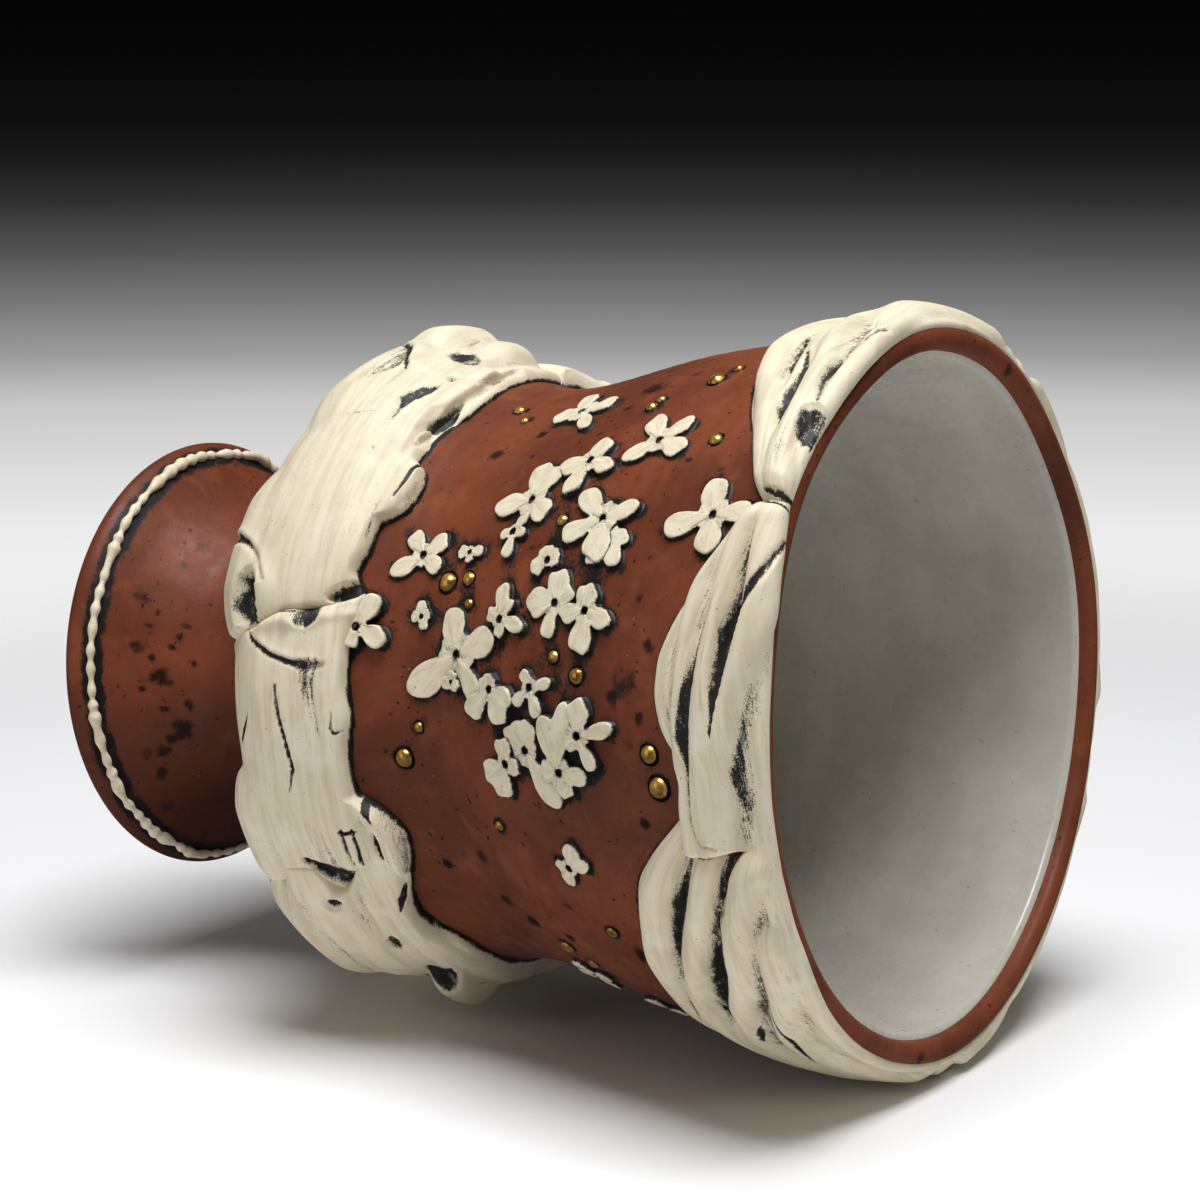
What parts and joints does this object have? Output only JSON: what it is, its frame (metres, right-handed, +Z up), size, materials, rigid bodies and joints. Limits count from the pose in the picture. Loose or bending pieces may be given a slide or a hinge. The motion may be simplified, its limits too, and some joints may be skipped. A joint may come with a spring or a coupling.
{
  "type": "pedestal cup",
  "caption": "Ceramic cup with a flared bowl on a trumpet foot, white glazed inside, dressed with porcelain drapery, sprigs and gold dots; holds a drink and stands on its foot ring.",
  "frame": {"origin": "centre of the foot ring's underside", "axes": "+Z up along the cup's axis, -Y the front with the main drift of sprigs"},
  "size_m": [0.0974, 0.0975, 0.1205],
  "materials": {
    "red_clay": "satin red clay with iron specks",
    "white_glaze": "satin white glaze",
    "porcelain": "satin cream porcelain with black wash in its folds",
    "sprig_porcelain": "satin cream porcelain sprigs with black wash round them",
    "slip_line": "satin cream slip beads",
    "gold_lustre": "polished gold lustre"
  },
  "bodies": {
    "root": {"foot_pedestal": "red_clay", "cup_bowl": "red_clay", "glaze_liner": "white_glaze", "foot_bead_trail": "slip_line", "belly_sheet_01": "porcelain", "belly_sheet_02": "porcelain", "belly_sheet_03": "porcelain", "belly_sheet_04": "porcelain", "belly_sheet_05": "porcelain", "rim_swag_01": "porcelain", "rim_swag_02": "porcelain", "rim_swag_03": "porcelain", "rim_swag_04": "porcelain", "rim_swag_05": "porcelain", "sprig_01": "sprig_porcelain", "sprig_02": "sprig_porcelain", "sprig_03": "sprig_porcelain", "sprig_04": "sprig_porcelain", "sprig_05": "sprig_porcelain", "sprig_06": "sprig_porcelain", "sprig_07": "sprig_porcelain", "sprig_08": "sprig_porcelain", "sprig_09": "sprig_porcelain", "sprig_10": "sprig_porcelain", "sprig_11": "sprig_porcelain", "sprig_12": "sprig_porcelain", "sprig_13": "sprig_porcelain", "sprig_14": "sprig_porcelain", "sprig_15": "sprig_porcelain", "sprig_16": "sprig_porcelain", "sprig_17": "sprig_porcelain", "sprig_18": "sprig_porcelain", "sprig_19": "sprig_porcelain", "sprig_20": "sprig_porcelain", "sprig_21": "sprig_porcelain", "sprig_22": "sprig_porcelain", "sprig_23": "sprig_porcelain", "sprig_24": "sprig_porcelain", "sprig_25": "sprig_porcelain", "gold_dot_01": "gold_lustre", "gold_dot_02": "gold_lustre", "gold_dot_03": "gold_lustre", "gold_dot_04": "gold_lustre", "gold_dot_05": "gold_lustre", "gold_dot_06": "gold_lustre", "gold_dot_07": "gold_lustre", "gold_dot_08": "gold_lustre", "gold_dot_09": "gold_lustre", "gold_dot_10": "gold_lustre", "gold_dot_11": "gold_lustre", "gold_dot_12": "gold_lustre", "gold_dot_13": "gold_lustre", "gold_dot_14": "gold_lustre", "gold_dot_15": "gold_lustre", "gold_dot_16": "gold_lustre", "gold_dot_17": "gold_lustre", "gold_dot_18": "gold_lustre", "gold_dot_19": "gold_lustre", "gold_dot_20": "gold_lustre"}
  },
  "joints": []
}
